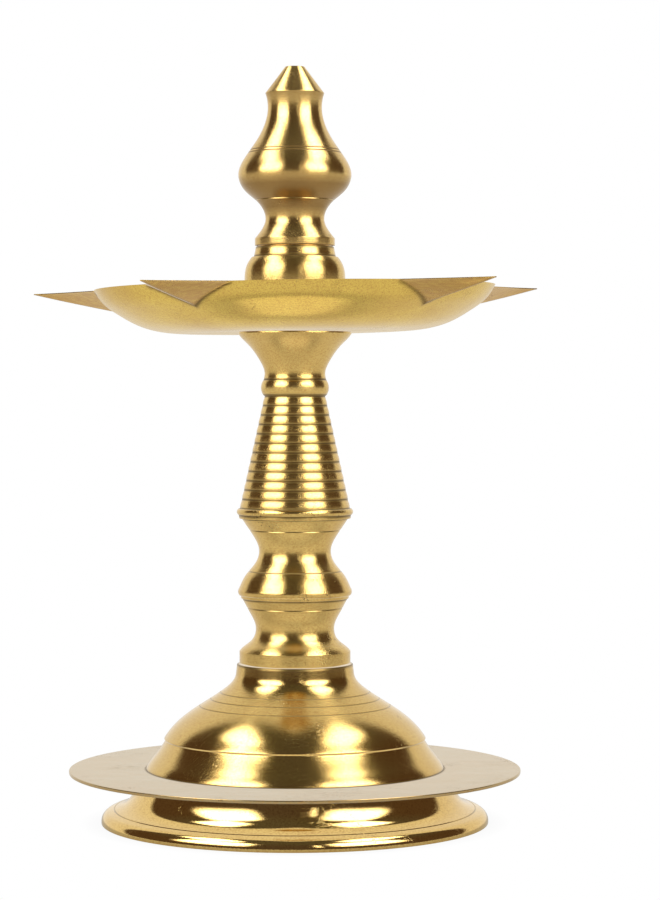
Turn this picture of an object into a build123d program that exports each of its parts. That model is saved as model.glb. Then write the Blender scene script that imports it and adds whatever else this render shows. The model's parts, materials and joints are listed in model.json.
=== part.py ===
"""Brass standing oil lamp (samai): a turned stem on a domed base, with a five-spout oil plate.

Millimetres, +Z up. The lamp's axis is the Z axis and the foot rests on z = 0.
"""

import os

from build123d import *

os.makedirs("parts", exist_ok=True)

# Heights of the seats where one piece rests on the next.
HEIGHT = 315.0
TRAY_Z = 21.1
DOME_Z = 22.4
LOWER_STEM_Z = 66.0
UPPER_STEM_Z = 126.8
PLATE_Z = 204.6
FINIAL_Z = 240.0

# Base.
TRAY_RADIUS = 94.2
FOOT_RADIUS = 80.8
FOOT_EDGE = 1.2
SKIRT_RADIUS = 62.2
BASE_OPENING_RADIUS = 50.0

# Oil plate.
RIM_Z = 223.0
RIM_RADIUS = 83.5
SHEET = 1.3
SPOUT_ANGLES = (23.0, 95.0, 167.0, 239.0, 313.0)
SPOUT_TIP_RADIUS = 115.5
SPOUT_ROOT_RADIUS = 81.0
SPOUT_HALF_WIDTH = 20.2
SPOUT_DEPTH = 7.8

# Stem.
RIBS = 12
RIBS_BOTTOM = (22.9, 131.0)
RIBS_TOP = (12.6, 177.8)
RIB_SWELL = 0.35

# Threaded studs and the holes they turn in. A stud is held in the piece above it by its upper end, and
# its lower end screws into the piece below.
STUD_RADIUS = 6.0
THREAD_PITCH = 2.0
THREAD_DEPTH = 0.9
THREAD_CLEARANCE = 0.05
THREAD_HOLE_RADIUS = STUD_RADIUS + THREAD_CLEARANCE
ENGAGEMENT = 6 * THREAD_PITCH
STUD_HOLD = 16.0
HOLE_RUNOUT = 1.0
LOWER_HOLE_DEPTH = 16.0
STUD_CHAMFER = 0.6
THROUGH_HOLE_RADIUS = STUD_RADIUS + 0.4
STEM_CORE_RADIUS = 9.5
COLLAR_CORE_RADIUS = 16.0

# Shadow gap around the finial's seat and the stem's seat on the base.
SEAT_GAP = 0.5

LINE_WIDTH = 0.5


def engrave(*points):
    """Turn a fine round-bottomed line into the piece being built at each (radius, height)."""
    with BuildSketch(Plane.XZ) as lines:
        with Locations(*points):
            Circle(LINE_WIDTH / 2)
    revolve(lines.sketch, axis=Axis.Z, mode=Mode.SUBTRACT)


def bore(radius, low, high):
    """Bore the piece being built along the axis, between two heights."""
    with Locations((0, 0, low)):
        Cylinder(radius, high - low, align=(Align.CENTER, Align.CENTER, Align.MIN), mode=Mode.SUBTRACT)


def threaded_rod(low, high, thread_high):
    """Make a stud between two heights, with thread rings from its foot up to thread_high."""
    with Locations((0, 0, low)):
        Cylinder(STUD_RADIUS, high - low, align=(Align.CENTER, Align.CENTER, Align.MIN))
    grooves = int((thread_high - low) / THREAD_PITCH) - 1
    with BuildSketch(Plane.XZ) as teeth:
        for groove in range(grooves):
            middle = low + (groove + 1) * THREAD_PITCH
            with BuildLine():
                Polyline(
                    (STUD_RADIUS - THREAD_DEPTH, middle),
                    (STUD_RADIUS + THREAD_DEPTH, middle + THREAD_PITCH * 0.8),
                    (STUD_RADIUS + THREAD_DEPTH, middle - THREAD_PITCH * 0.8),
                    close=True,
                )
            make_face()
    revolve(teeth.sketch, axis=Axis.Z, mode=Mode.SUBTRACT)


# ---------------------------------------------------------------- base

with BuildPart() as foot_ring:
    with BuildSketch(Plane.XZ):
        with BuildLine():
            inner_edge = BASE_OPENING_RADIUS
            Polyline((66.0, TRAY_Z), (inner_edge, TRAY_Z), (inner_edge, 18.2), (62.8, 18.2))
            inside = Spline((62.8, 18.2), (63.8, 11.0), (71.0, 3.4), tangents=((0, -1), (1, -0.35)))
            Polyline(inside @ 1, (72.5, 0), (FOOT_RADIUS, 0), (FOOT_RADIUS, FOOT_EDGE))
            toe = ThreePointArc((FOOT_RADIUS, FOOT_EDGE), (79.9, 3.6), (77.4, 5.2))
            Spline(toe @ 1, (70.6, 8.2), (67.3, 13.0), (66.0, TRAY_Z), tangents=((-1, 0.35), (0, 1)))
        make_face()
    revolve(axis=Axis.Z)
    engrave((75.6, 6.0))
foot_ring.part.label = "foot_ring"
export_step(foot_ring.part, "parts/foot_ring.step")

with BuildPart() as drip_tray:
    with BuildSketch(Plane.XY.offset(TRAY_Z)):
        Circle(TRAY_RADIUS)
        Circle(BASE_OPENING_RADIUS, mode=Mode.SUBTRACT)
    extrude(amount=DOME_Z - TRAY_Z)
    fillet(drip_tray.edges().filter_by(GeomType.CIRCLE).group_by(SortBy.RADIUS)[-1], 0.4)
drip_tray.part.label = "drip_tray"
export_step(drip_tray.part, "parts/drip_tray.step")

with BuildPart() as base_dome:
    with BuildSketch(Plane.XZ):
        with BuildLine():
            Polyline((0, LOWER_STEM_Z), (0, 46.0), (13.0, 46.0), (13.0, 60.0), (20.0, 60.0))
            inside = Spline(
                (20.0, 60.0), (27.0, 53.0), (39.5, 45.0), (50.8, 35.0), tangents=((0.15, -1), (0.6, -1))
            )
            Polyline(inside @ 1, (58.8, DOME_Z), (SKIRT_RADIUS, DOME_Z))
            skirt = Spline(
                (SKIRT_RADIUS, DOME_Z), (58.4, 28.0), (54.0, 34.4), tangents=((-0.4, 1), (-0.6, 1))
            )
            Line(skirt @ 1, (54.7, 35.0))
            swell = Spline(
                (54.7, 35.0), (48.2, 42.6), (37.6, 50.1), (30.1, 55.1), (24.7, 62.0),
                tangents=((-0.6, 1), (-0.1, 1)),
            )
            Polyline(swell @ 1, (24.2, LOWER_STEM_Z), (0, LOWER_STEM_Z))
        make_face()
    revolve(axis=Axis.Z)
    engrave((31.4, 54.1), (35.1, 51.6), (39.9, 48.7))
    bore(THREAD_HOLE_RADIUS, 46.0, LOWER_STEM_Z)
base_dome.part.label = "base_dome"
export_step(base_dome.part, "parts/base_dome.step")

# ---------------------------------------------------------------- stem

with BuildPart() as base_stud:
    threaded_rod(LOWER_STEM_Z - ENGAGEMENT, LOWER_STEM_Z + STUD_HOLD, LOWER_STEM_Z + STUD_HOLD)
    chamfer(base_stud.faces().sort_by(Axis.Z)[0].edges(), STUD_CHAMFER)
base_stud.part.label = "base_stud"
export_step(base_stud.part, "parts/base_stud.step")

with BuildPart() as lower_stem:
    with BuildSketch(Plane.XZ):
        with BuildLine():
            collar_z = LOWER_STEM_Z + SEAT_GAP
            Polyline(
                (0, LOWER_STEM_Z), (21.2, LOWER_STEM_Z), (21.2, collar_z), (23.2, collar_z), (23.2, 71.4)
            )
            lower_cup = Spline(
                (23.0, 71.6), (17.7, 76.4), (16.4, 81.4), (19.0, 87.7), (21.7, 92.8),
                tangents=((-0.7, 1), (0.55, 1)),
            )
            Line((23.2, 71.4), lower_cup @ 0)
            Polyline(lower_cup @ 1, (21.9, 93.2), (22.5, 93.5), (22.6, 94.6), (23.3, 94.8))
            ring = ThreePointArc((23.3, 94.8), (23.8, 96.2), (23.4, 97.6))
            upper_cup = Spline(
                ring @ 1, (20.9, 102.7), (16.1, 109.0), (15.0, 113.4), (17.1, 119.0), (22.2, UPPER_STEM_Z),
                tangents=((-0.45, 1), (0.6, 1)),
            )
            Polyline(upper_cup @ 1, (0, UPPER_STEM_Z), (0, LOWER_STEM_Z))
        make_face()
    revolve(axis=Axis.Z)
    engrave((20.2, 88.9), (19.2, 105.0), (19.0, 121.4))
    core_low = LOWER_STEM_Z + STUD_HOLD + HOLE_RUNOUT
    core_high = UPPER_STEM_Z - LOWER_HOLE_DEPTH
    bore(THREAD_HOLE_RADIUS, LOWER_STEM_Z, core_low)
    bore(STEM_CORE_RADIUS, core_low, core_high)
    bore(THREAD_HOLE_RADIUS, core_high, UPPER_STEM_Z)
lower_stem.part.label = "lower_stem"
export_step(lower_stem.part, "parts/lower_stem.step")

with BuildPart() as stem_stud:
    threaded_rod(UPPER_STEM_Z - ENGAGEMENT, UPPER_STEM_Z + STUD_HOLD, UPPER_STEM_Z + STUD_HOLD)
    chamfer(stem_stud.faces().sort_by(Axis.Z)[0].edges(), STUD_CHAMFER)
stem_stud.part.label = "stem_stud"
export_step(stem_stud.part, "parts/stem_stud.step")

with BuildPart() as upper_stem:
    with BuildSketch(Plane.XZ):
        with BuildLine():
            band = Polyline((0, UPPER_STEM_Z), (23.3, UPPER_STEM_Z), (23.4, 128.1), (23.6, 128.3))
            ring = ThreePointArc(band @ 1, (24.3, 129.8), (23.4, 131.0))
            foot_of_ribs = Line(ring @ 1, RIBS_BOTTOM)
            rib_start = foot_of_ribs @ 1
            step = (Vector(*RIBS_TOP) - Vector(*RIBS_BOTTOM)) / RIBS
            for rib in range(RIBS):
                rib_end = rib_start + step
                SagittaArc(rib_start, rib_end, -RIB_SWELL)
                rib_start = rib_end
            Line(rib_start, (13.3, 178.4))
            bead = ThreePointArc((13.3, 178.4), (14.2, 181.2), (13.0, 184.8))
            flare = Spline(
                bead @ 1, (12.7, 186.8), (14.8, 192.9), (19.4, 199.2), (23.2, 203.2),
                tangents=((-0.1, 1), (0.7, 1)),
            )
            Polyline(flare @ 1, (23.7, 203.8), (23.7, PLATE_Z), (0, PLATE_Z), (0, UPPER_STEM_Z))
        make_face()
    revolve(axis=Axis.Z)
    core_low = UPPER_STEM_Z + STUD_HOLD + HOLE_RUNOUT
    bore(THREAD_HOLE_RADIUS, UPPER_STEM_Z, core_low)
    with Locations((0, 0, core_low)):
        Cone(15.0, 7.0, 35.0, align=(Align.CENTER, Align.CENTER, Align.MIN), mode=Mode.SUBTRACT)
    bore(THREAD_HOLE_RADIUS, PLATE_Z - ENGAGEMENT - HOLE_RUNOUT, PLATE_Z)
upper_stem.part.label = "upper_stem"
export_step(upper_stem.part, "parts/upper_stem.step")

# ---------------------------------------------------------------- oil plate

spout_length = SPOUT_TIP_RADIUS - SPOUT_ROOT_RADIUS


def spout_section(distance):
    """The V-shaped section of a spout, at a distance from the lamp's axis."""
    taper = (SPOUT_TIP_RADIUS - distance) / spout_length
    half_width = SPOUT_HALF_WIDTH * taper**1.25
    depth = SPOUT_DEPTH * taper**0.93
    with BuildSketch(Plane.YZ.offset(distance)) as section:
        with BuildLine():
            Polyline((-half_width, RIM_Z), (half_width, RIM_Z), (0, RIM_Z - depth), close=True)
        make_face()
    return section.sketch


with BuildPart() as spout_blank:
    stations = [SPOUT_ROOT_RADIUS + spout_length * along for along in (-0.4, 0.0, 0.35, 0.7)]
    sections = [spout_section(distance) for distance in stations]
    loft([*sections, Vertex(SPOUT_TIP_RADIUS, 0, RIM_Z)], ruled=True)

# The plate's form as a filled solid: the round dish and its five spouts.
with BuildPart() as plate_blank:
    with BuildSketch(Plane.XZ):
        with BuildLine():
            Polyline((RIM_RADIUS, RIM_Z), (0, RIM_Z), (0, PLATE_Z), (46.0, PLATE_Z))
            Spline(
                (46.0, PLATE_Z), (65.0, 208.0), (74.0, 213.0), (79.8, 217.4), (RIM_RADIUS, RIM_Z),
                tangents=((1, 0), (0.5, 1)),
            )
        make_face()
    revolve(axis=Axis.Z)
    with Locations(*[Location((0, 0, 0), (0, 0, angle)) for angle in SPOUT_ANGLES]):
        add(spout_blank.part)

with BuildPart() as oil_plate:
    add(plate_blank.part)
    with Locations((0, 0, SHEET)):
        add(plate_blank.part, mode=Mode.SUBTRACT)
    bore(THROUGH_HOLE_RADIUS, PLATE_Z, RIM_Z)
oil_plate.part.label = "oil_plate"
export_step(oil_plate.part, "parts/oil_plate.step")

with BuildPart() as plate_collar:
    with BuildSketch(Plane.XZ):
        with BuildLine():
            floor_z = PLATE_Z + SHEET
            Polyline((THROUGH_HOLE_RADIUS, FINIAL_Z), (THROUGH_HOLE_RADIUS, floor_z), (25.5, floor_z))
            bell = Spline(
                (25.5, floor_z), (22.6, 213.0), (21.0, 224.0), (20.4, 231.6), (18.0, 235.8),
                tangents=((0, 1), (-0.9, 1)),
            )
            Polyline(bell @ 1, (17.1, 235.9), (16.3, FINIAL_Z), (THROUGH_HOLE_RADIUS, FINIAL_Z))
        make_face()
    revolve(axis=Axis.Z)
    bore(COLLAR_CORE_RADIUS, floor_z, 228.0)
plate_collar.part.label = "plate_collar"
export_step(plate_collar.part, "parts/plate_collar.step")

# ---------------------------------------------------------------- finial

with BuildPart() as finial_stud:
    threaded_rod(PLATE_Z - ENGAGEMENT, FINIAL_Z + 14.0, PLATE_Z + 2.0)
    chamfer(finial_stud.faces().sort_by(Axis.Z)[0].edges(), STUD_CHAMFER)
finial_stud.part.label = "finial_stud"
export_step(finial_stud.part, "parts/finial_stud.step")

with BuildPart() as finial:
    with BuildSketch(Plane.XZ):
        with BuildLine():
            ring_z = FINIAL_Z + SEAT_GAP
            Polyline(
                (0, FINIAL_Z), (14.8, FINIAL_Z), (14.8, ring_z), (16.7, ring_z), (16.7, 243.5), (15.9, 244.5)
            )
            swell = Spline(
                (15.9, 244.5), (12.3, 251.4), (15.3, 258.5), (20.9, 263.5), (23.6, 269.7),
                (20.0, 278.5), (15.0, 286.0), (11.9, 293.5), (11.3, 298.0), (12.3, 304.0),
                tangents=((-0.8, 1), (0.35, 1)),
            )
            Polyline(swell @ 1, (4.0, HEIGHT), (0, HEIGHT), (0, FINIAL_Z))
        make_face()
    revolve(axis=Axis.Z)
    engrave((18.9, 280.3), (19.7, 279.0), (16.0, 259.3))
    with BuildSketch(Plane.XZ):
        with BuildLine():
            Polyline((0, 284.0), (0, FINIAL_Z), (THREAD_HOLE_RADIUS, FINIAL_Z), (THREAD_HOLE_RADIUS, 255.0))
            Spline((THREAD_HOLE_RADIUS, 255.0), (17.0, 269.7), (0, 284.0), tangents=((1, 1), (-1, 0)))
        make_face()
    revolve(axis=Axis.Z, mode=Mode.SUBTRACT)
finial.part.label = "finial"
export_step(finial.part, "parts/finial.step")
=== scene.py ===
"""Brass standing oil lamp (samai): the visible pieces, materials, light and camera.

Metres in Blender; outlines are written in millimetres over each piece's own seat.
"""

import json
import math

import bpy
import numpy as np
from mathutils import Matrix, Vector


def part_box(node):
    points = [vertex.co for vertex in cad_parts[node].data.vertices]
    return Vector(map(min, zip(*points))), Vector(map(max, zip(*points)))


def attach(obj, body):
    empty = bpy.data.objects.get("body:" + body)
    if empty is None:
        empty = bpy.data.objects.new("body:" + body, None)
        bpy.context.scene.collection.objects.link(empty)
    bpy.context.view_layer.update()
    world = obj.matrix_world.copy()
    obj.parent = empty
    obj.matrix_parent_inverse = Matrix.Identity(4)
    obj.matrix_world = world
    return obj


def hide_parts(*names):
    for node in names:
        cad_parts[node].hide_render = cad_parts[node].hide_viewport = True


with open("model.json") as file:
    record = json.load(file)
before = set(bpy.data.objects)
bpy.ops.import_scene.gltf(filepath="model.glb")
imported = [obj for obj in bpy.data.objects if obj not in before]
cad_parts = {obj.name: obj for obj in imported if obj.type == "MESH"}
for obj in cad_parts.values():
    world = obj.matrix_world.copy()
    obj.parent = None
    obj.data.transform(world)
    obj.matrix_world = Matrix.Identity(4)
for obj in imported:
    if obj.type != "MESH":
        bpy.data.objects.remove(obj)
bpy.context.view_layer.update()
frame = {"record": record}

MM = 0.001
BODY_OF = {node: body for body, nodes in frame["record"]["behaviour"]["bodies"].items() for node in nodes}

SEGMENTS = 216          # steps around a turned piece
STEP = 1.0              # longest step along a turned outline, mm
EDGE = 0.28             # radius of a worn turned edge, mm
LINE_WIDTH = 0.62       # engraved line, mm
LINE_DEPTH = 0.34

SEAM_WIDTH = 0.45       # how far the painted seam shade and polish residue reach from a seam, mm
SHARP_EDGE = math.radians(42)
CORNER = math.radians(24)   # an outline that turns by more than this has a corner

RIB_SWELL = 0.19        # how far a rib's crest stands out, mm
RIB_COUNT = 12
RIB_CREST = 0.28        # where a rib's crest is, as a share of its height

STUD_RADIUS = 6.0
THREAD_PITCH = 2.0
THREAD_DEPTH = 0.9
THREAD_HOLE = 6.05
THROUGH_HOLE = 6.4
CORE_RADIUS = 9.5       # the hollow inside the lower stem


# ---------------------------------------------------------------- outlines

def seat(node):
    """Height of a node's underside over the floor, mm."""
    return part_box(node)[0][2] / MM


def top(node):
    """Height of a node's highest point over the floor, mm."""
    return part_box(node)[1][2] / MM


def unit(vector):
    vector = np.asarray(vector, float)
    return vector / np.linalg.norm(vector)


def curve(points, start, end, step=0.7):
    """A smooth curve through the points that leaves along start and arrives along end."""
    points = np.asarray(points, float)
    gaps = np.linalg.norm(np.diff(points, axis=0), axis=1)
    count = len(points)
    system = np.eye(count)
    right = np.zeros((count, 2))
    right[0], right[-1] = unit(start), unit(end)
    for i in range(1, count - 1):
        before, after = gaps[i - 1], gaps[i]
        into, away = points[i] - points[i - 1], points[i + 1] - points[i]
        system[i, i - 1:i + 2] = after, 2 * (before + after), before
        right[i] = 3 * (after * into / before + before * away / after)
    slopes = np.linalg.solve(system, right)
    out = []
    for i, gap in enumerate(gaps):
        steps = max(3, math.ceil(gap / step))
        for k in range(steps):
            t = k / steps
            out.append(
                (2 * t**3 - 3 * t**2 + 1) * points[i] + (t**3 - 2 * t**2 + t) * gap * slopes[i]
                + (3 * t**2 - 2 * t**3) * points[i + 1] + (t**3 - t**2) * gap * slopes[i + 1]
            )
    out.append(points[-1])
    return [tuple(p) for p in out]


def arc(a, middle, b, steps=9):
    """A circular arc from a through middle to b."""
    (ax, ay), (mx, my), (bx, by) = a, middle, b
    d = 2 * (ax * (my - by) + mx * (by - ay) + bx * (ay - my))
    sa, sm, sb = ax**2 + ay**2, mx**2 + my**2, bx**2 + by**2
    cx = (sa * (my - by) + sm * (by - ay) + sb * (ay - my)) / d
    cy = (sa * (bx - mx) + sm * (ax - bx) + sb * (mx - ax)) / d
    radius = math.hypot(ax - cx, ay - cy)
    first, mid, last = (math.atan2(y - cy, x - cx) for x, y in (a, middle, b))
    mid = first + (mid - first + math.pi) % (2 * math.pi) - math.pi
    last = mid + (last - mid + math.pi) % (2 * math.pi) - math.pi
    angles = np.linspace(first, last, steps + 1)
    return [(cx + radius * math.cos(t), cy + radius * math.sin(t)) for t in angles]


def worn(points, closed, radius=EDGE):
    """Round every sharp corner of an outline a little, as handling and polishing do."""
    points = [np.asarray(p, float) for p in points]
    count = len(points)
    out = []
    for i, here in enumerate(points):
        if not closed and i in (0, count - 1):
            out.append(here)
            continue
        before, after = points[i - 1], points[(i + 1) % count]
        into, away = here - before, after - here
        if min(np.linalg.norm(into), np.linalg.norm(away)) < 1e-6:
            continue
        turn = math.acos(max(-1, min(1, float(unit(into) @ unit(away)))))
        if turn < CORNER or here[0] < 1e-6:
            out.append(here)
            continue
        cut = min(radius * math.tan(turn / 2), 0.45 * np.linalg.norm(into), 0.45 * np.linalg.norm(away))
        first, last = here - unit(into) * cut, here + unit(away) * cut
        for t in (0, 0.25, 0.5, 0.75, 1):
            out.append((1 - t) ** 2 * first + 2 * t * (1 - t) * here + t**2 * last)
    return out


def subdivided(points, closed, step=STEP):
    """Split the long stretches of an outline, so that its shading stays even."""
    out = []
    count = len(points)
    for i in range(count if closed else count - 1):
        here, after = points[i], points[(i + 1) % count]
        steps = max(1, math.ceil(np.linalg.norm(after - here) / step))
        out += [here + (after - here) * k / steps for k in range(steps)]
    if not closed:
        out.append(points[-1])
    return out


def engraved(points, lines):
    """Cut a fine line into an outline near each (radius, height). Returns the points and how much darker each
    is, most at the bottom of the groove.
    """
    points = [np.asarray(p, float) for p in points]
    residue_and_shade = [0.0] * len(points)
    for line in lines:
        nearest = min(range(len(points)), key=lambda i: np.linalg.norm(points[i] - line))
        here = points[nearest]
        along = unit(points[nearest + 1] - points[nearest - 1])
        inward = np.array([-along[1], along[0]])
        if inward[0] > 0:
            inward = -inward
        keep_low = nearest
        while np.linalg.norm(points[keep_low] - here) < LINE_WIDTH * 0.75:
            keep_low -= 1
        keep_high = nearest
        while np.linalg.norm(points[keep_high] - here) < LINE_WIDTH * 0.75:
            keep_high += 1
        half = along * LINE_WIDTH / 2
        groove = [here - half * 1.3, here - half, here - half * 0.4 + inward * LINE_DEPTH,
                  here + half * 0.4 + inward * LINE_DEPTH, here + half, here + half * 1.3]
        points[keep_low + 1:keep_high] = groove
        residue_and_shade[keep_low + 1:keep_high] = [0.0, 0.2, 0.5, 0.5, 0.2, 0.0]
    return points, residue_and_shade


# ---------------------------------------------------------------- meshes

# Only these pieces are seen in reflections and cast shadows. The others would hide the softboxes and the
# white floor from the pieces next to them.
REFLECTED = {"plate_collar"}


def as_piece(name, vertices, faces, node, material, residue_and_shade=None):
    """Make an object from mesh data in metres, standing for a CAD node and riding on its body."""
    mesh = bpy.data.meshes.new(name)
    mesh.from_pydata([tuple(v) for v in vertices], [], faces)
    mesh.polygons.foreach_set("use_smooth", [True] * len(mesh.polygons))
    mesh.set_sharp_from_angle(angle=SHARP_EDGE)
    if residue_and_shade is not None:
        layer = mesh.attributes.new("residue_and_shade", "FLOAT", "POINT")
        layer.data.foreach_set("value", list(residue_and_shade))
    mesh.materials.append(material)
    mesh.update()
    piece = bpy.data.objects.new(name, mesh)
    bpy.context.scene.collection.objects.link(piece)
    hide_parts(node)
    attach(piece, BODY_OF[node])
    piece.visible_glossy = piece.visible_shadow = node in REFLECTED
    return piece


def turned(node, outline, material, lines=(), closed=False, seams=()):
    """Turn an outline, in mm over the node's seat, around the lamp's axis.

    An outline that isn't closed starts and ends on the axis. Lines are engraved, and seams are
    (radius, height) places darkened with painted shade where parts meet or grooves run, and with polish
    residue.
    """
    base = seat(node)
    points = subdivided(worn(outline, closed), closed)
    points, residue_and_shade = engraved(points, lines)
    # Painted shade with polish residue: darker where parts meet and in the grooves between ribs.
    for radius, height in seams:
        for i, p in enumerate(points):
            reach = math.hypot(p[0] - radius, p[1] - height)
            residue_and_shade[i] = max(residue_and_shade[i], 0.9 * math.exp(-(reach / SEAM_WIDTH) ** 2))
    angles = np.linspace(0, 2 * math.pi, SEGMENTS, endpoint=False)
    cosines, sines = np.cos(angles), np.sin(angles)
    vertices, rings, vertex_residue_and_shade = [], [], []
    for (radius, height), residue_and_shade_here in zip(points, residue_and_shade):
        z = (height + base) * MM
        first = len(vertices)
        if radius < 1e-6:
            vertices.append((0, 0, z))
            rings.append([first] * SEGMENTS)
            vertex_residue_and_shade.append(residue_and_shade_here)
        else:
            vertices += [(radius * MM * c, radius * MM * s, z) for c, s in zip(cosines, sines)]
            rings.append(list(range(first, first + SEGMENTS)))
            vertex_residue_and_shade += [residue_and_shade_here] * SEGMENTS
    faces = []
    count = len(rings)
    for i in range(count if closed else count - 1):
        low, high = rings[i], rings[(i + 1) % count]
        for k in range(SEGMENTS):
            n = (k + 1) % SEGMENTS
            face = dict.fromkeys((low[k], low[n], high[n], high[k]))
            if len(face) > 2:
                faces.append(tuple(face))
    return as_piece(f"{node}_turned", vertices, faces, node, material, vertex_residue_and_shade)


def stud(node, thread_length, material):
    """A rod with a helical thread from its foot up, in the space of a CAD stud."""
    base, length = seat(node), top(node) - seat(node)
    around, rows_per_turn = 72, 12
    chamfer, crest_flat, tip_share = 0.8, 0.2, 0.88
    rows = math.ceil(length / THREAD_PITCH * rows_per_turn)
    vertices, faces = [(0, 0, base * MM)], []
    for row in range(rows + 1):
        height = length * row / rows
        fade = min(1, max(0, (thread_length - height) / THREAD_PITCH))
        tip = min(1, height / chamfer)
        for k in range(around):
            phase = (height / THREAD_PITCH - k / around) % 1
            tooth = 1 - abs(2 * phase - 1)
            cut = THREAD_DEPTH * min(1, 1.5 * max(0, tooth - crest_flat)) * fade
            r = (STUD_RADIUS - cut) * (tip_share + (1 - tip_share) * tip)
            angle = 2 * math.pi * k / around
            vertices.append((r * MM * math.cos(angle), r * MM * math.sin(angle), (base + height) * MM))
    for row in range(rows):
        for k in range(around):
            a, b = 1 + row * around + k, 1 + row * around + (k + 1) % around
            faces.append((a, b, b + around, a + around))
    vertices.append((0, 0, (base + length) * MM))
    last = len(vertices) - 1
    for k in range(around):
        n = (k + 1) % around
        faces.append((0, 1 + n, 1 + k))
        faces.append((last, 1 + rows * around + k, 1 + rows * around + n))
    return as_piece(f"{node}_thread", vertices, faces, node, material)


# ---------------------------------------------------------------- materials

class Nodes:
    """Short names for the node graph of a material, a light or the world."""

    def __init__(self, owner):
        owner.use_nodes = True
        self.tree = owner.node_tree
        self.tree.nodes.clear()

    def node(self, kind, inputs=None, **settings):
        made = self.tree.nodes.new(kind)
        for key, value in settings.items():
            setattr(made, key, value)
        for key, value in (inputs or {}).items():
            if isinstance(value, bpy.types.NodeSocket):
                self.tree.links.new(value, made.inputs[key])
            else:
                made.inputs[key].default_value = value
        return made

    def geometry(self, output):
        """The three components of an output of the Geometry node."""
        value = self.node("ShaderNodeNewGeometry").outputs[output]
        return self.node("ShaderNodeSeparateXYZ", {0: value}).outputs

    def math(self, operation, *values):
        return self.node("ShaderNodeMath", dict(enumerate(values)), operation=operation).outputs[0]

    def vector(self, x, y, z):
        return self.node("ShaderNodeCombineXYZ", {0: x, 1: y, 2: z}).outputs[0]

    def noise(self, vector, scale, detail=3.0, rough=0.55, distortion=0.0):
        made = self.node("ShaderNodeTexNoise", {
            "Vector": vector, "Scale": scale, "Detail": detail, "Roughness": rough, "Distortion": distortion,
        })
        return made.outputs["Fac"]

    def ramp(self, value, low, high, first=0.0, last=1.0):
        made = self.node("ShaderNodeMapRange", {
            "Value": value, "From Min": low, "From Max": high, "To Min": first, "To Max": last,
        })
        return made.outputs["Result"]

    def mix(self, factor, first, second):
        made = self.node("ShaderNodeMix", data_type="RGBA")
        for socket, value in ((made.inputs[0], factor), (made.inputs[6], first), (made.inputs[7], second)):
            if isinstance(value, bpy.types.NodeSocket):
                self.tree.links.new(value, socket)
            else:
                socket.default_value = value
        return made.outputs[2]


GOLD = (0.80, 0.565, 0.20, 1)
BROWN = (0.50, 0.28, 0.075, 1)
DARK = (0.06, 0.03, 0.01, 1)
# Colour of the painted shade on downward faces.
UNDERSIDE_SHADE = (0.20, 0.105, 0.035, 1)


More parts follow.
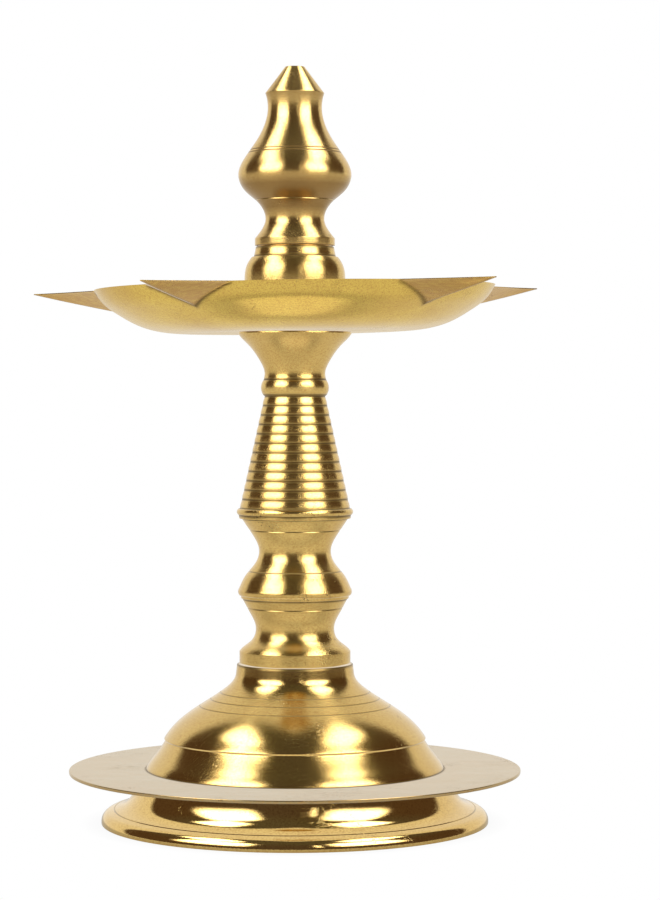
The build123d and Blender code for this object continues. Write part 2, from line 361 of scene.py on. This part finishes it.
def brass(name, roughness=0.16, lathe=1.0, brushed=0.0, pits=0.3, tarnish=0.25, waves=0.3, polish=0.6,
          scratches=0.3, underside_shade=0.0, colour=GOLD):
    """Worked brass. lathe is the depth of the turning marks and brushed that of hand filing.

    polish is how directional the polish is, and the underside shade argument is painted shade: how far the
    downward faces are darkened to brown.
    """
    material = bpy.data.materials.new(name)
    n = Nodes(material)
    place = n.node("ShaderNodeTexCoord").outputs["Object"]
    x, y, z = n.node("ShaderNodeSeparateXYZ", {0: place}).outputs
    radius = n.math("SQRT", n.math("ADD", n.math("MULTIPLY", x, x), n.math("MULTIPLY", y, y)))
    angle = n.math("ARCTAN2", y, x)

    # Turning marks: rings that hardly change around the axis.
    around = n.math("MULTIPLY", n.math("SINE", angle), 0.0006)
    ring_place = n.vector(radius, z, around)
    rings = n.noise(ring_place, 1500, 4, 0.75)
    coarse_rings = n.noise(ring_place, 420, 2, 0.5)
    # Hand filing: strokes along x.
    stroke_place = n.vector(n.math("MULTIPLY", x, 0.25), y, z)
    strokes = n.noise(stroke_place, 900, 3, 0.6, 0.3)
    # Hand polish leaves the surface slightly wavy.
    hollows = n.noise(place, 55, 2, 0.5)
    # Casting pits.
    cells = n.node("ShaderNodeTexVoronoi", {"Vector": place, "Scale": 1100.0, "Randomness": 1.0})
    pit_here = n.ramp(n.noise(place, 75, 3), 0.66 - 0.10 * pits, 0.74 - 0.10 * pits)
    pit = n.math("MULTIPLY", n.ramp(cells.outputs["Distance"], 0.22, 0.36, 1.0, 0.0), pit_here)
    # Scratches: thin curved lines where a stretched noise crosses its middle.
    scratch_noise = n.noise(n.vector(x, n.math("MULTIPLY", y, 3.5), z), 70, 4, 0.7, 1.2)
    scratch = n.ramp(n.math("ABSOLUTE", n.math("SUBTRACT", scratch_noise, 0.5)), 0.0, 0.004, 1.0, 0.0)
    scratch_here = n.ramp(n.noise(place, 38, 1), 0.56, 0.62)
    scratch = n.math("MULTIPLY", scratch, scratch_here)

    residue_and_shade = n.node("ShaderNodeAttribute", attribute_name="residue_and_shade").outputs["Fac"]
    worked = n.node("ShaderNodeAttribute", attribute_name="worked").outputs["Fac"]
    patches = n.noise(place, 24, 5, 0.6, 0.4)
    speckle = n.noise(place, 1100, 3, 0.75)
    grain = n.noise(place, 2300, 2, 0.8)

    tint = n.mix(n.ramp(patches, 0.42, 0.75, 0.0, tarnish), colour, BROWN)
    deeper = (colour[0] * 0.84, colour[1] * 0.78, colour[2] * 0.65, 1)
    tint = n.mix(n.ramp(rings, 0.35, 0.7, 0.0, 0.22), tint, deeper)
    tint = n.mix(n.ramp(speckle, 0.48, 0.66, 0.0, 0.55), tint, BROWN)
    tint = n.mix(n.ramp(grain, 0.52, 0.66, 0.0, 0.75), tint, BROWN)
    tint = n.mix(n.math("MULTIPLY", worked, n.ramp(strokes, 0.35, 0.6, 0.45, 1.0)), tint, BROWN)
    tint = n.mix(n.math("MULTIPLY", pit, min(1.0, 0.5 + pits)), tint, DARK)
    tint = n.mix(n.math("MULTIPLY", scratch, scratches * 0.6), tint, DARK)
    # Seams, grooves and the plate's crease lines are darkened: painted shade, together with polish residue.
    tint = n.mix(n.math("MULTIPLY", residue_and_shade, 0.9), tint, DARK)

    # Painted shade: the downward faces turn dark brown, standing in for the dark things they mirror.
    if underside_shade:
        tint = n.mix(n.ramp(n.geometry("Normal")[2], -0.05, -0.5, 0.0, underside_shade), tint, UNDERSIDE_SHADE)

    rough = n.math("ADD", roughness, n.ramp(patches, 0.35, 0.75, -0.01, 0.03))
    rough = n.math("ADD", rough, n.ramp(rings, 0.3, 0.75, -0.01, 0.02))
    rough = n.math("ADD", rough, n.math("MULTIPLY", n.math("ADD", pit, residue_and_shade), 0.35))
    rough = n.math("ADD", rough, n.math("MULTIPLY", scratch, 0.15))

    height = n.math("MULTIPLY", rings, 0.0000045 * lathe)
    height = n.math("ADD", height, n.math("MULTIPLY", coarse_rings, 0.000012 * lathe))
    height = n.math("ADD", height, n.math("MULTIPLY", strokes, 0.000012 * brushed))
    height = n.math("ADD", height, n.math("MULTIPLY", hollows, 0.00022 * waves))
    height = n.math("ADD", height, n.math("MULTIPLY", grain, 0.000024 * lathe))
    height = n.math("SUBTRACT", height, n.math("MULTIPLY", pit, 0.00005))
    height = n.math("SUBTRACT", height, n.math("MULTIPLY", scratch, 0.00003 * scratches))
    bump = n.node("ShaderNodeBump", {"Height": height, "Distance": 1.0, "Strength": 1.0})

    surface = n.node("ShaderNodeBsdfPrincipled", {
        "Base Color": tint, "Metallic": 1.0, "Roughness": rough, "Normal": bump.outputs[0],
        "Anisotropic": polish, "Anisotropic Rotation": 0.25,
        "Specular Tint": (1.0, 0.97, 0.90, 1.0),
    })
    if polish:
        tangent = n.node("ShaderNodeTangent", direction_type="RADIAL", axis="Z")
        n.tree.links.new(tangent.outputs[0], surface.inputs["Tangent"])
    n.node("ShaderNodeOutputMaterial", {"Surface": surface.outputs[0]})
    return material


polished = brass("polished_turned_brass", roughness=0.06, lathe=0.5, pits=0.1, waves=0.06, polish=0.35)
dome_brass = brass("dome_brass", roughness=0.14, lathe=0.9, pits=0.1, waves=0.05, polish=0.85, scratches=0.1,
                   colour=(0.68, 0.48, 0.165, 1))
stem_brass = brass("stem_brass", roughness=0.21, lathe=1.2, pits=0.4, tarnish=0.40, waves=0.08, polish=0.92,
                   colour=(0.72, 0.515, 0.175, 1))
# The finial's downward faces are darkened with painted shade.
finial_brass = brass("finial_brass", roughness=0.21, lathe=1.2, pits=0.3, tarnish=0.40, waves=0.08,
                     polish=0.92, underside_shade=0.75, colour=(0.68, 0.48, 0.175, 1))
tray_brass = brass("tray_brass", roughness=0.13, lathe=0.5, pits=0.25, scratches=1.0, waves=0.7, tarnish=0.30,
                   polish=0.3, colour=(0.41, 0.32, 0.17, 1))
plate_brass = brass("filed_plate_brass", roughness=0.20, lathe=0.0, brushed=1.0, pits=0.3, waves=1.3,
                    polish=0.0, scratches=0.9, tarnish=0.60, colour=(0.80, 0.575, 0.13, 1))
stud_brass = brass("stud_brass", roughness=0.32, lathe=0.3, tarnish=0.6, polish=0.3)

# ---------------------------------------------------------------- turned pieces

turned("foot_ring", [
    (66.0, 21.1), (50.0, 21.1), (50.0, 18.2),
    *curve([(62.8, 18.2), (63.8, 11.0), (71.0, 3.4)], (0, -1), (1, -0.35)),
    (72.5, 0.0), (80.8, 0.0), (80.8, 1.2),
    *arc((80.8, 1.2), (79.9, 3.6), (77.4, 5.2))[1:],
    *curve([(77.4, 5.2), (70.6, 8.2), (67.3, 13.0), (66.0, 21.1)], (-1, 0.35), (0, 1))[1:-1],
], polished, lines=[(75.6, 6.0)], closed=True, seams=[(66.0, 21.1)])

tray_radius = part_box("drip_tray")[1][0] / MM
turned("drip_tray", [(50.0, 0), (tray_radius, 0), (tray_radius, 1.3), (50.0, 1.3)], tray_brass, closed=True,
       seams=[(62.2, 1.3)])

turned("base_dome", [
    (THREAD_HOLE, 43.6), (THREAD_HOLE, 23.6), (13.0, 23.6), (13.0, 37.6),
    *curve([(20.0, 37.6), (27.0, 30.6), (39.5, 22.6), (50.8, 12.6)], (0.15, -1), (0.6, -1)),
    (58.8, 0),
    *curve([(62.2, 0), (58.4, 5.6), (54.0, 12.0)], (-0.4, 1), (-0.6, 1)),
    *curve([(54.7, 12.6), (48.2, 20.2), (37.6, 27.7), (30.1, 32.7), (24.7, 39.6)], (-0.6, 1), (-0.1, 1)),
    (24.2, 43.6),
], dome_brass, lines=[(31.4, 31.7), (35.1, 29.2), (39.9, 26.3)], closed=True, seams=[(62.2, 0), (24.2, 43.6)])

turned("lower_stem", [
    (THREAD_HOLE, 0), (21.2, 0), (21.2, 0.5), (23.2, 0.5), (23.2, 5.4),
    *curve([(23.0, 5.6), (17.7, 10.4), (16.4, 15.4), (19.0, 21.7), (21.7, 26.8)], (-0.7, 1), (0.55, 1)),
    (21.9, 27.2), (22.5, 27.5), (22.6, 28.6),
    *arc((23.3, 28.8), (23.8, 30.2), (23.4, 31.6)),
    *curve([(23.4, 31.6), (20.9, 36.7), (16.1, 43.0), (15.0, 47.4), (17.1, 53.0), (22.2, 60.8)],
           (-0.45, 1), (0.6, 1))[1:],
    (THREAD_HOLE, 60.8), (THREAD_HOLE, 44.8), (CORE_RADIUS, 44.8), (CORE_RADIUS, 17.0), (THREAD_HOLE, 17.0),
], stem_brass, lines=[(20.2, 22.9), (19.2, 39.0), (19.0, 55.4)], closed=True,
    seams=[(21.9, 27.2), (22.2, 60.8), (22.0, 0.5)])

ribs = []
rib_low, rib_high = np.array((22.9, 4.2)), np.array((12.6, 51.0))
rib_step = (rib_high - rib_low) / RIB_COUNT
rib_out = unit((rib_step[1], -rib_step[0])) * RIB_SWELL
for rib in range(RIB_COUNT):
    foot = rib_low + rib_step * rib
    crest = foot + rib_step * RIB_CREST + rib_out
    rise, fall = rib_out + rib_step * 0.2, rib_step - rib_out * 0.2
    profile = curve([foot, crest, foot + rib_step], rise, fall, step=0.4)
    ribs += profile[1 if rib else 0:]

turned("upper_stem", [
    (0, 52.0), (7.0, 52.0), (15.0, 17.0), (THREAD_HOLE, 17.0), (THREAD_HOLE, 0), (23.3, 0), (23.4, 1.3),
    *arc((23.6, 1.5), (24.3, 3.0), (23.4, 4.2)),
    *ribs,
    *arc((13.3, 51.6), (14.2, 54.4), (13.0, 58.0)),
    *curve([(13.0, 58.0), (12.7, 60.0), (14.8, 66.1), (19.4, 72.4), (23.2, 76.4)], (-0.1, 1), (0.7, 1))[1:],
    (23.7, 77.0), (23.7, 77.8), (THREAD_HOLE, 77.8), (THREAD_HOLE, 64.8), (0, 64.8),
], stem_brass, seams=[(13.3, 51.4), (13.0, 58.0), (23.5, 1.4), tuple(rib_low)]
    + [tuple(rib_low + rib_step * k) for k in range(1, RIB_COUNT + 1)])

turned("plate_collar", [
    (THROUGH_HOLE, 34.1), (THROUGH_HOLE, 22.1), (16.0, 22.1), (16.0, 0),
    *curve([(25.5, 0), (22.6, 7.1), (21.0, 18.1), (20.4, 25.7), (18.0, 29.9)], (0, 1), (-0.9, 1)),
    (17.1, 30.0), (16.3, 34.1),
], stem_brass, closed=True, seams=[(17.1, 30.0), (16.3, 34.1), (25.5, 0)])

turned("finial", [
    *curve([(0, 44.0), (17.0, 29.7), (THREAD_HOLE, 15.0)], (1, 0), (-1, -1)),
    (THREAD_HOLE, 0), (14.8, 0), (14.8, 0.5), (16.7, 0.5), (16.7, 3.5),
    *curve([(15.9, 4.5), (12.3, 11.4), (15.3, 18.5), (20.9, 23.5), (23.6, 29.7), (20.0, 38.5), (15.0, 46.0),
            (11.9, 53.5), (11.3, 58.0), (12.3, 64.0)], (-0.8, 1), (0.35, 1)),
    (4.0, 75.0), (0, 75.0),
], finial_brass, lines=[(18.9, 40.3), (19.7, 39.0), (16.0, 19.3)], seams=[(15.5, 0.5)])

for node, threaded in (("base_stud", 28.0), ("stem_stud", 28.0), ("finial_stud", 14.0)):
    stud(node, threaded, stud_brass)

# ---------------------------------------------------------------- oil plate

RIM = 18.4              # height of the rim over the plate's underside, mm
RIM_RADIUS = 83.5
SHEET = 1.3
TIP, ROOT, HALF_WIDTH, DEPTH = 115.5, 81.0, 20.2, 7.8
SPOUT_START = 60        # the spouts have no effect nearer to the axis than this, mm
KEEL_ROUNDING = 0.35
CREASE_BLEND = 0.35
FACET_START = 68        # and their facets are coloured from here
CREASE_WIDTH, KEEL_WIDTH, FACET_EDGE = 0.55, 0.5, 0.6
TILT = 0.0155           # the rim is bent up to the right, per mm from the axis
CLAMPED, FREE = 27.0, 45.0  # the plate is held flat up to the first radius and bends freely from the second
SPOUT_ANGLES = [math.radians(a) for a in (23, 95, 167, 239, 313)]
dish = np.array([(0, 0), (46, 0)] + curve([(46, 0), (65, 3.4), (74, 8.4), (79.8, 12.8), (83.5, RIM)],
                                          (1, 0), (0.5, 1))[1:])


def spout_place(x, y):
    """Distance along and across the nearest spout."""
    angle = math.atan2(y, x)
    nearest = min(SPOUT_ANGLES, key=lambda a: abs((angle - a + math.pi) % (2 * math.pi) - math.pi))
    return (x * math.cos(nearest) + y * math.sin(nearest), -x * math.sin(nearest) + y * math.cos(nearest))


def spout_width(along):
    return HALF_WIDTH * max(0, (TIP - along) / (TIP - ROOT)) ** 1.25


def spout_depth(along):
    return DEPTH * max(0, (TIP - along) / (TIP - ROOT)) ** 0.93


def underside(x, y):
    """Height of the plate's outer surface, with its keels and creases slightly rounded."""
    bowl = float(np.interp(math.hypot(x, y), dish[:, 0], dish[:, 1]))
    along, across = spout_place(x, y)
    if along < SPOUT_START:
        return bowl
    width = max(spout_width(along), 1e-4)
    soft = math.sqrt(across**2 + KEEL_ROUNDING**2) - KEEL_ROUNDING
    channel = RIM - spout_depth(along) * (1 - min(1.5, soft / width))
    return -CREASE_BLEND * math.log(math.exp(-bowl / CREASE_BLEND) + math.exp(-channel / CREASE_BLEND))


def bend(x, y):
    """How far the plate is bent up at a place: nothing where it is clamped, most at the right."""
    free = min(1, max(0, (math.hypot(x, y) - CLAMPED) / (FREE - CLAMPED)))
    return TILT * x * free**2 * (3 - 2 * free)


def facet(x, y):
    """How far a place is on a spout's pinched facets, and how near it is to their crease lines."""
    bowl = float(np.interp(math.hypot(x, y), dish[:, 0], dish[:, 1]))
    along, across = spout_place(x, y)
    if along < FACET_START:
        return 0.0, 0.0
    width = max(spout_width(along), 1e-4)
    channel = RIM - spout_depth(along) * (1 - min(1.5, abs(across) / width))
    # The crease and keel lines are darkened with painted shade.
    crease = math.exp(-((bowl - channel) / CREASE_WIDTH) ** 2) if bowl < RIM else 0.0
    keel = 0.5 * math.exp(-(across / KEEL_WIDTH) ** 2) if channel < bowl else 0.0
    return min(1, max(0, (bowl - channel) / FACET_EDGE + 0.5)), max(crease, keel)


def rim_distance(angle):
    """Distance of the rim from the axis at an angle: a circle drawn out to a point at each spout."""
    offset = min(abs((angle - a + math.pi) % (2 * math.pi) - math.pi) for a in SPOUT_ANGLES)
    low, high = RIM_RADIUS, TIP
    if RIM_RADIUS * math.sin(offset) > spout_width(RIM_RADIUS * math.cos(offset)):
        return RIM_RADIUS
    for _ in range(30):
        middle = (low + high) / 2
        inside = middle * math.sin(offset) <= spout_width(middle * math.cos(offset))
        low, high = (middle, high) if inside else (low, middle)
    return low


def oil_plate():
    """The dish with its five spouts: an underside and a top, closed at the hole and along the rim."""
    base = seat("oil_plate")
    around, across, coarse = 900, 76, 22
    vertices, faces, residue_and_shade, worked = [], [], [], []
    rims = [rim_distance(2 * math.pi * k / around) for k in range(around)]
    flat_share = 0.62       # the flat middle has coarser rows than the bowl and spouts
    levels = np.concatenate([
        np.linspace(0, flat_share, coarse, endpoint=False), np.linspace(flat_share, 1, across - coarse),
    ])
    for side in (0, 1):     # the underside, then the top, which may not stand over the rim
        for level in levels:
            for k, rim in enumerate(rims):
                angle = 2 * math.pi * k / around
                r = THROUGH_HOLE + (rim - THROUGH_HOLE) * level
                x, y = r * math.cos(angle), r * math.sin(angle)
                z = underside(x, y)
                if side:
                    z = min(z + SHEET, RIM + 0.05 * (1 - level))
                # line is painted shade along the spouts' creases and keels.
                worked_here, line = facet(x, y)
                worked.append(worked_here)
                residue_and_shade.append(line)
                vertices.append((x * MM, y * MM, (z + bend(x, y) + base) * MM))
    rows = len(levels)
    for side in (0, 1):
        start = side * rows * around
        for row in range(rows - 1):
            for k in range(around):
                n = (k + 1) % around
                a, b = start + row * around + k, start + row * around + n
                quad = (a, a + around, b + around, b)
                faces.append(quad if not side else quad[::-1])
    outer = (rows - 1) * around
    for k in range(around):
        n = (k + 1) % around
        faces.append((k, n, rows * around + n, rows * around + k))
        faces.append((outer + n, outer + k, rows * around + outer + k, rows * around + outer + n))
    piece = as_piece("oil_plate_sheet", vertices, faces, "oil_plate", plate_brass, residue_and_shade)
    layer = piece.data.attributes.new("worked", "FLOAT", "POINT")
    layer.data.foreach_set("value", worked)


oil_plate()

# ---------------------------------------------------------------- stage, light and camera

WHITE = (1, 1, 1, 1)
PAPER = 0.87            # brightness of the floor as the brass reflects it
PAPER_TINT = (1, 0.985, 0.955, 1)
SOFTBOX = 6.6           # brightness of the softboxes against the white backdrop
UPRIGHT_CORE = 0.55     # share of an upright softbox's half width that glows evenly
OVERHEAD_CORE = 0.60
BOX_LOW, BOX_HIGH, BOX_DISTANCE = 0.27, 1.32, 0.90
OVERHEAD_Z = 1.15


def floor_distance(n):
    """Distance of a shaded point from the lamp's axis."""
    x, y, _ = n.geometry("Position")
    return n.math("SQRT", n.math("ADD", n.math("MULTIPLY", x, x), n.math("MULTIPLY", y, y)))


def stage_floor():
    """White paper with a faint shadow round the foot.

    The brass mirrors a duller floor than the camera sees: darkest beside the foot, a painted shadow, and
    brightest under the lamp, a painted reflection of the tray and dome, which the brass doesn't mirror.
    """
    mesh = bpy.data.meshes.new("floor")
    count, reach = 96, 2.2
    turns = [2 * math.pi * k / count for k in range(count)]
    edge = [(reach * math.cos(t), reach * math.sin(t), 0) for t in turns]
    mesh.from_pydata(edge, [], [tuple(range(count))])
    material = bpy.data.materials.new("floor_paper")
    n = Nodes(material)
    ray = n.node("ShaderNodeLightPath").outputs["Is Camera Ray"]
    distance = floor_distance(n)
    # Painted shadow round the foot, then a painted reflection of the tray and dome under the lamp and a
    # painted shadow beside the foot for the brass.
    seen = n.ramp(distance, 0.080, 0.090, 0.95, 1.0)
    painted_base_reflection = n.ramp(distance, 0.065, 0.080, 1.35 * PAPER, 0.0)
    reflected = n.math("MAXIMUM", painted_base_reflection, n.ramp(distance, 0.075, 0.15, 0.6 * PAPER, PAPER))
    strength = n.math("ADD", n.math("MULTIPLY", ray, seen),
                      n.math("MULTIPLY", n.math("SUBTRACT", 1.0, ray), reflected))
    paper = n.node("ShaderNodeEmission", {"Color": n.mix(ray, PAPER_TINT, WHITE), "Strength": strength})
    n.node("ShaderNodeOutputMaterial", {"Surface": paper.outputs[0]})
    mesh.materials.append(material)
    floor = bpy.data.objects.new("floor", mesh)
    bpy.context.scene.collection.objects.link(floor)


def panel(name, place, facing, width, height, radiance, core):
    """A softbox at a place, shining along facing. core is the share of its half width that glows evenly, and
    from there it fades towards rounded edges. Cameras don't see it, polished brass does."""
    light = bpy.data.lights.new(name, "AREA")
    n = Nodes(light)
    u, v, _ = n.geometry("Parametric")
    reach = 0.0
    for side in (u, v):
        offset = n.math("ABSOLUTE", n.math("MULTIPLY_ADD", side, 2.0, -1.0))
        reach = n.math("ADD", n.math("POWER", offset, 4.0), reach)
    reach = n.math("POWER", reach, 0.25)
    glow = n.node("ShaderNodeMapRange", {
        "Value": reach, "From Min": core, "From Max": 1.0, "To Min": 1.0, "To Max": 0.0,
    }, interpolation_type="SMOOTHSTEP")
    cloth = n.node("ShaderNodeEmission", {"Strength": glow.outputs["Result"]})
    n.node("ShaderNodeOutputLight", {"Surface": cloth.outputs[0]})
    light.shape = "RECTANGLE"
    light.size, light.size_y = width, height
    light.energy = radiance * math.pi * width * height
    lamp = bpy.data.objects.new(name, light)
    lamp.location = place
    lamp.rotation_euler = (-Vector(facing)).to_track_quat("Z", "Y").to_euler()
    lamp.visible_camera = False
    bpy.context.scene.collection.objects.link(lamp)


def upright(name, first, last, low, high, distance, radiance):
    """An upright softbox between two azimuths in degrees, measured from the front towards +X."""
    middle, half = math.radians((first + last) / 2), math.radians((last - first) / 2)
    aim = Vector((math.sin(middle), -math.cos(middle), 0))
    width = 2 * distance * math.tan(half)
    panel(name, aim * distance + Vector((0, 0, (low + high) / 2)), -aim, width, high - low, radiance,
          UPRIGHT_CORE)


def overhead(name, left, right, front, back, radiance):
    """A softbox lying over the lamp."""
    place = ((left + right) / 2, (front + back) / 2, OVERHEAD_Z)
    panel(name, place, (0, 0, -1), right - left, back - front, radiance, OVERHEAD_CORE)


def studio():
    """A white sweep behind the lamp, from 115 degrees round on either side, and a dim room in front of it."""
    world = bpy.data.worlds.new("studio")
    bpy.context.scene.world = world
    n = Nodes(world)
    direction = n.node("ShaderNodeTexCoord").outputs["Generated"]
    x, y, z = n.node("ShaderNodeSeparateXYZ", {0: direction}).outputs
    side = n.math("ABSOLUTE", n.math("ARCTAN2", x, n.math("MULTIPLY", y, -1.0)))
    climb = n.math("MULTIPLY", n.math("MAXIMUM", z, 0.0), 0.5)
    sweep = n.ramp(n.math("SUBTRACT", side, climb), math.radians(115), math.radians(118))
    front, flank, ceiling = (0.105, 0.080, 0.068, 1), (0.11, 0.070, 0.046, 1), (0.12, 0.11, 0.09, 1)
    room = n.mix(n.ramp(side, math.radians(40), math.radians(80)), front, flank)
    room = n.mix(n.ramp(z, 0.55, 0.9), room, ceiling)
    light = n.mix(sweep, room, (1.0, 0.99, 0.965, 1))
    ground = (PAPER, PAPER * PAPER_TINT[1], PAPER * PAPER_TINT[2], 1)
    light = n.mix(n.ramp(z, -0.01, 0.0, 1.0, 0.0), light, ground)
    ray = n.node("ShaderNodeLightPath").outputs["Is Camera Ray"]
    back = n.node("ShaderNodeBackground", {"Color": n.mix(ray, light, WHITE), "Strength": 1.0})
    n.node("ShaderNodeOutputWorld", {"Surface": back.outputs[0]})


stage_floor()
studio()
upright("softbox_left", -82, -24, BOX_LOW, BOX_HIGH, BOX_DISTANCE, SOFTBOX)
upright("softbox_right", 19, 75, BOX_LOW, BOX_HIGH, BOX_DISTANCE, SOFTBOX)
upright("strip", 12.8, 14.3, BOX_LOW, 1.0, 1.10, 1.3 * SOFTBOX)
overhead("overhead_left", -0.90, -0.37, -0.46, 0.40, SOFTBOX)
overhead("overhead_right", 0.29, 0.82, -0.46, 0.40, SOFTBOX)

CAMERA_DISTANCE, CAMERA_HEIGHT = 1.134, 0.1775
LOOK_DOWN, LOOK_RIGHT = 1.12, 0.74      # degrees

camera_data = bpy.data.cameras.new("camera")
camera_data.sensor_width = 36
camera_data.lens = 108.6
camera_data.clip_start = 0.05
camera = bpy.data.objects.new("camera", camera_data)
camera.location = (0, -CAMERA_DISTANCE, CAMERA_HEIGHT)
camera.rotation_euler = (math.radians(90 - LOOK_DOWN), 0, math.radians(-LOOK_RIGHT))
bpy.context.scene.collection.objects.link(camera)
bpy.context.scene.camera = camera
bpy.context.scene.view_settings.view_transform = "Standard"
